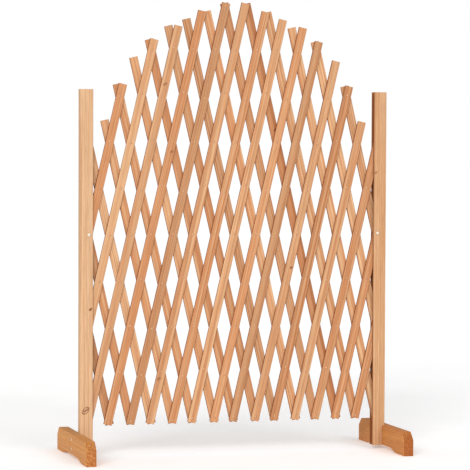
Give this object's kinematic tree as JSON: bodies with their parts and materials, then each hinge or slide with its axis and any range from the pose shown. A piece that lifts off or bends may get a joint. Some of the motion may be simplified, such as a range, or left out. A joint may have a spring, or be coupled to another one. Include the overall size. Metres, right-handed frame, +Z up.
{
  "type": "plant trellis panel",
  "caption": "Free-standing arched wooden trellis: a lattice of riveted laths that stretches and closes like a scissor between posts on cross feet.",
  "frame": {"origin": "on the ground, midway between the posts and midway along the feet", "axes": "+Z up, +X across the panel to the right seen from the front, -Y towards the front"},
  "size_m": [0.9292, 0.39, 1.261],
  "materials": {
    "lath_wood": "stained, sawn",
    "post_wood": "stained, planed",
    "foot_wood": "stained, planed",
    "rivet": "dull",
    "fastener_steel": "zinc plated"
  },
  "bodies": {
    "left_stand": {"left_post": "post_wood", "left_foot": "foot_wood", "left_foot_screws": "fastener_steel", "left_pivot_bolt": "fastener_steel", "left_pivot_washers": "fastener_steel", "left_pivot_nut": "fastener_steel"},
    "front_01": {"front_lath_01": "lath_wood", "rivets_01": "rivet"},
    "front_02": {"front_lath_02": "lath_wood", "rivets_02": "rivet"},
    "front_03": {"front_lath_03": "lath_wood", "rivets_03": "rivet"},
    "front_04": {"front_lath_04": "lath_wood", "rivets_04": "rivet"},
    "front_05": {"front_lath_05": "lath_wood", "rivets_05": "rivet"},
    "front_06": {"front_lath_06": "lath_wood", "rivets_06": "rivet"},
    "front_07": {"front_lath_07": "lath_wood", "rivets_07": "rivet"},
    "front_08": {"front_lath_08": "lath_wood", "rivets_08": "rivet"},
    "front_09": {"front_lath_09": "lath_wood", "rivets_09": "rivet"},
    "front_10": {"front_lath_10": "lath_wood", "rivets_10": "rivet"},
    "front_11": {"front_lath_11": "lath_wood", "rivets_11": "rivet"},
    "front_12": {"front_lath_12": "lath_wood", "rivets_12": "rivet"},
    "front_13": {"front_lath_13": "lath_wood", "rivets_13": "rivet"},
    "front_14": {"front_lath_14": "lath_wood", "rivets_14": "rivet"},
    "front_15": {"front_lath_15": "lath_wood", "rivets_15": "rivet"},
    "front_16": {"front_lath_16": "lath_wood", "rivets_16": "rivet"},
    "back_01": {"back_lath_01": "lath_wood"},
    "back_02": {"back_lath_02": "lath_wood"},
    "back_03": {"back_lath_03": "lath_wood"},
    "back_04": {"back_lath_04": "lath_wood"},
    "back_05": {"back_lath_05": "lath_wood"},
    "back_06": {"back_lath_06": "lath_wood"},
    "back_07": {"back_lath_07": "lath_wood"},
    "back_08": {"back_lath_08": "lath_wood"},
    "back_09": {"back_lath_09": "lath_wood"},
    "back_10": {"back_lath_10": "lath_wood"},
    "back_11": {"back_lath_11": "lath_wood"},
    "back_12": {"back_lath_12": "lath_wood"},
    "back_13": {"back_lath_13": "lath_wood"},
    "back_14": {"back_lath_14": "lath_wood"},
    "back_15": {"back_lath_15": "lath_wood"},
    "back_16": {"back_lath_16": "lath_wood"},
    "right_stand": {"right_post": "post_wood", "right_foot": "foot_wood", "right_foot_screws": "fastener_steel", "right_pivot_bolt": "fastener_steel", "right_pivot_washers": "fastener_steel", "right_pivot_nut": "fastener_steel"}
  },
  "joints": [
    {"name": "stretch", "type": "hinge", "parent": "left_stand", "child": "back_02", "pos_m": [-0.41885, -0.00005, 0.61461], "axis": [0, -1, 0], "range_deg": [-6.8, 16]},
    {"name": "front_01_pivot", "type": "hinge", "parent": "back_02", "child": "front_01", "pos_m": [-0.41885, -0.00005, 0.61461], "axis": [0, 1, 0], "range_deg": [-14, 32.4]},
    {"name": "front_02_pivot", "type": "hinge", "parent": "back_02", "child": "front_02", "pos_m": [-0.38893, -0.00005, 0.48605], "axis": [0, 1, 0], "range_deg": [-14, 32.4]},
    {"name": "front_03_pivot", "type": "hinge", "parent": "back_02", "child": "front_03", "pos_m": [-0.35902, -0.00005, 0.35748], "axis": [0, 1, 0], "range_deg": [-14, 32.4]},
    {"name": "front_04_pivot", "type": "hinge", "parent": "back_02", "child": "front_04", "pos_m": [-0.3301, -0.00005, 0.23321], "axis": [0, 1, 0], "range_deg": [-14, 32.4]},
    {"name": "front_05_pivot", "type": "hinge", "parent": "back_02", "child": "front_05", "pos_m": [-0.29818, -0.00005, 0.09605], "axis": [0, 1, 0], "range_deg": [-14, 32.4]},
    {"name": "back_01_pivot", "type": "hinge", "parent": "front_03", "child": "back_01", "pos_m": [-0.38893, -0.00005, 0.22892], "axis": [0, -1, 0], "range_deg": [-14, 32.4]},
    {"name": "back_03_pivot", "type": "hinge", "parent": "front_05", "child": "back_03", "pos_m": [-0.26826, -0.00005, 0.22462], "axis": [0, -1, 0], "range_deg": [-14, 32.4]},
    {"name": "back_04_pivot", "type": "hinge", "parent": "front_05", "child": "back_04", "pos_m": [-0.23834, -0.00005, 0.35318], "axis": [0, -1, 0], "range_deg": [-14, 32.4]},
    {"name": "back_05_pivot", "type": "hinge", "parent": "front_05", "child": "back_05", "pos_m": [-0.20943, -0.00005, 0.47745], "axis": [0, -1, 0], "range_deg": [-14, 32.4]},
    {"name": "back_06_pivot", "type": "hinge", "parent": "front_05", "child": "back_06", "pos_m": [-0.17751, -0.00005, 0.61461], "axis": [0, -1, 0], "range_deg": [-14, 32.4]},
    {"name": "back_07_pivot", "type": "hinge", "parent": "front_05", "child": "back_07", "pos_m": [-0.14959, -0.00005, 0.73458], "axis": [0, -1, 0], "range_deg": [-14, 32.4]},
    {"name": "back_08_pivot", "type": "hinge", "parent": "front_05", "child": "back_08", "pos_m": [-0.11767, -0.00005, 0.87174], "axis": [0, -1, 0], "range_deg": [-14, 32.4]},
    {"name": "back_09_pivot", "type": "hinge", "parent": "front_05", "child": "back_09", "pos_m": [-0.08975, -0.00005, 0.99171], "axis": [0, -1, 0], "range_deg": [-14, 32.4]},
    {"name": "back_10_pivot", "type": "hinge", "parent": "front_05", "child": "back_10", "pos_m": [-0.05784, -0.00005, 1.12887], "axis": [0, -1, 0], "range_deg": [-14, 32.4]},
    {"name": "front_06_pivot", "type": "hinge", "parent": "back_10", "child": "front_06", "pos_m": [-0.02992, -0.00005, 1.0089], "axis": [0, 1, 0], "range_deg": [-14, 32.4]},
    {"name": "front_07_pivot", "type": "hinge", "parent": "back_10", "child": "front_07", "pos_m": [0.002, -0.00005, 0.87174], "axis": [0, 1, 0], "range_deg": [-14, 32.4]},
    {"name": "front_08_pivot", "type": "hinge", "parent": "back_10", "child": "front_08", "pos_m": [0.02992, -0.00005, 0.75177], "axis": [0, 1, 0], "range_deg": [-14, 32.4]},
    {"name": "front_09_pivot", "type": "hinge", "parent": "back_10", "child": "front_09", "pos_m": [0.06184, -0.00005, 0.61461], "axis": [0, 1, 0], "range_deg": [-14, 32.4]},
    {"name": "front_10_pivot", "type": "hinge", "parent": "back_10", "child": "front_10", "pos_m": [0.08975, -0.00005, 0.49464], "axis": [0, 1, 0], "range_deg": [-14, 32.4]},
    {"name": "front_11_pivot", "type": "hinge", "parent": "back_10", "child": "front_11", "pos_m": [0.12167, -0.00005, 0.35748], "axis": [0, 1, 0], "range_deg": [-14, 32.4]},
    {"name": "front_12_pivot", "type": "hinge", "parent": "back_10", "child": "front_12", "pos_m": [0.14959, -0.00005, 0.23751], "axis": [0, 1, 0], "range_deg": [-14, 32.4]},
    {"name": "front_13_pivot", "type": "hinge", "parent": "back_10", "child": "front_13", "pos_m": [0.18051, -0.00005, 0.10465], "axis": [0, 1, 0], "range_deg": [-14, 32.4]},
    {"name": "back_11_pivot", "type": "hinge", "parent": "front_13", "child": "back_11", "pos_m": [0.20843, -0.00005, 0.22462], "axis": [0, -1, 0], "range_deg": [-14, 32.4]},
    {"name": "back_12_pivot", "type": "hinge", "parent": "front_13", "child": "back_12", "pos_m": [0.24034, -0.00005, 0.36178], "axis": [0, -1, 0], "range_deg": [-14, 32.4]},
    {"name": "back_13_pivot", "type": "hinge", "parent": "front_13", "child": "back_13", "pos_m": [0.26826, -0.00005, 0.48175], "axis": [0, -1, 0], "range_deg": [-14, 32.4]},
    {"name": "back_14_pivot", "type": "hinge", "parent": "front_13", "child": "back_14", "pos_m": [0.29918, -0.00005, 0.61461], "axis": [0, -1, 0], "range_deg": [-14, 32.4]},
    {"name": "back_15_pivot", "type": "hinge", "parent": "front_13", "child": "back_15", "pos_m": [0.3291, -0.00005, 0.74318], "axis": [0, -1, 0], "range_deg": [-14, 32.4]},
    {"name": "back_16_pivot", "type": "hinge", "parent": "front_13", "child": "back_16", "pos_m": [0.35902, -0.00005, 0.87174], "axis": [0, -1, 0], "range_deg": [-14, 32.4]},
    {"name": "front_14_pivot", "type": "hinge", "parent": "back_14", "child": "front_14", "pos_m": [0.3291, -0.00005, 0.48605], "axis": [0, 1, 0], "range_deg": [-14, 32.4]},
    {"name": "front_15_pivot", "type": "hinge", "parent": "back_14", "child": "front_15", "pos_m": [0.35902, -0.00005, 0.35748], "axis": [0, 1, 0], "range_deg": [-14, 32.4]},
    {"name": "front_16_pivot", "type": "hinge", "parent": "back_14", "child": "front_16", "pos_m": [0.38893, -0.00005, 0.22892], "axis": [0, 1, 0], "range_deg": [-14, 32.4]},
    {"name": "right_stand_pivot", "type": "hinge", "parent": "back_16", "child": "right_stand", "pos_m": [0.41885, -0.00005, 0.61461], "axis": [0, 1, 0], "range_deg": [-7.2, 16.4]}
  ],
  "couplings": [
    {"joint": "front_01_pivot", "follows": "stretch", "ratio": 2},
    {"joint": "front_02_pivot", "follows": "stretch", "ratio": 2},
    {"joint": "front_03_pivot", "follows": "stretch", "ratio": 2},
    {"joint": "front_04_pivot", "follows": "stretch", "ratio": 2},
    {"joint": "front_05_pivot", "follows": "stretch", "ratio": 2},
    {"joint": "back_01_pivot", "follows": "stretch", "ratio": 2},
    {"joint": "back_03_pivot", "follows": "stretch", "ratio": 2},
    {"joint": "back_04_pivot", "follows": "stretch", "ratio": 2},
    {"joint": "back_05_pivot", "follows": "stretch", "ratio": 2},
    {"joint": "back_06_pivot", "follows": "stretch", "ratio": 2},
    {"joint": "back_07_pivot", "follows": "stretch", "ratio": 2},
    {"joint": "back_08_pivot", "follows": "stretch", "ratio": 2},
    {"joint": "back_09_pivot", "follows": "stretch", "ratio": 2},
    {"joint": "back_10_pivot", "follows": "stretch", "ratio": 2},
    {"joint": "front_06_pivot", "follows": "stretch", "ratio": 2},
    {"joint": "front_07_pivot", "follows": "stretch", "ratio": 2},
    {"joint": "front_08_pivot", "follows": "stretch", "ratio": 2},
    {"joint": "front_09_pivot", "follows": "stretch", "ratio": 2},
    {"joint": "front_10_pivot", "follows": "stretch", "ratio": 2},
    {"joint": "front_11_pivot", "follows": "stretch", "ratio": 2},
    {"joint": "front_12_pivot", "follows": "stretch", "ratio": 2},
    {"joint": "front_13_pivot", "follows": "stretch", "ratio": 2},
    {"joint": "back_11_pivot", "follows": "stretch", "ratio": 2},
    {"joint": "back_12_pivot", "follows": "stretch", "ratio": 2},
    {"joint": "back_13_pivot", "follows": "stretch", "ratio": 2},
    {"joint": "back_14_pivot", "follows": "stretch", "ratio": 2},
    {"joint": "back_15_pivot", "follows": "stretch", "ratio": 2},
    {"joint": "back_16_pivot", "follows": "stretch", "ratio": 2},
    {"joint": "front_14_pivot", "follows": "stretch", "ratio": 2},
    {"joint": "front_15_pivot", "follows": "stretch", "ratio": 2},
    {"joint": "front_16_pivot", "follows": "stretch", "ratio": 2},
    {"joint": "right_stand_pivot", "follows": "stretch", "ratio": 1}
  ]
}
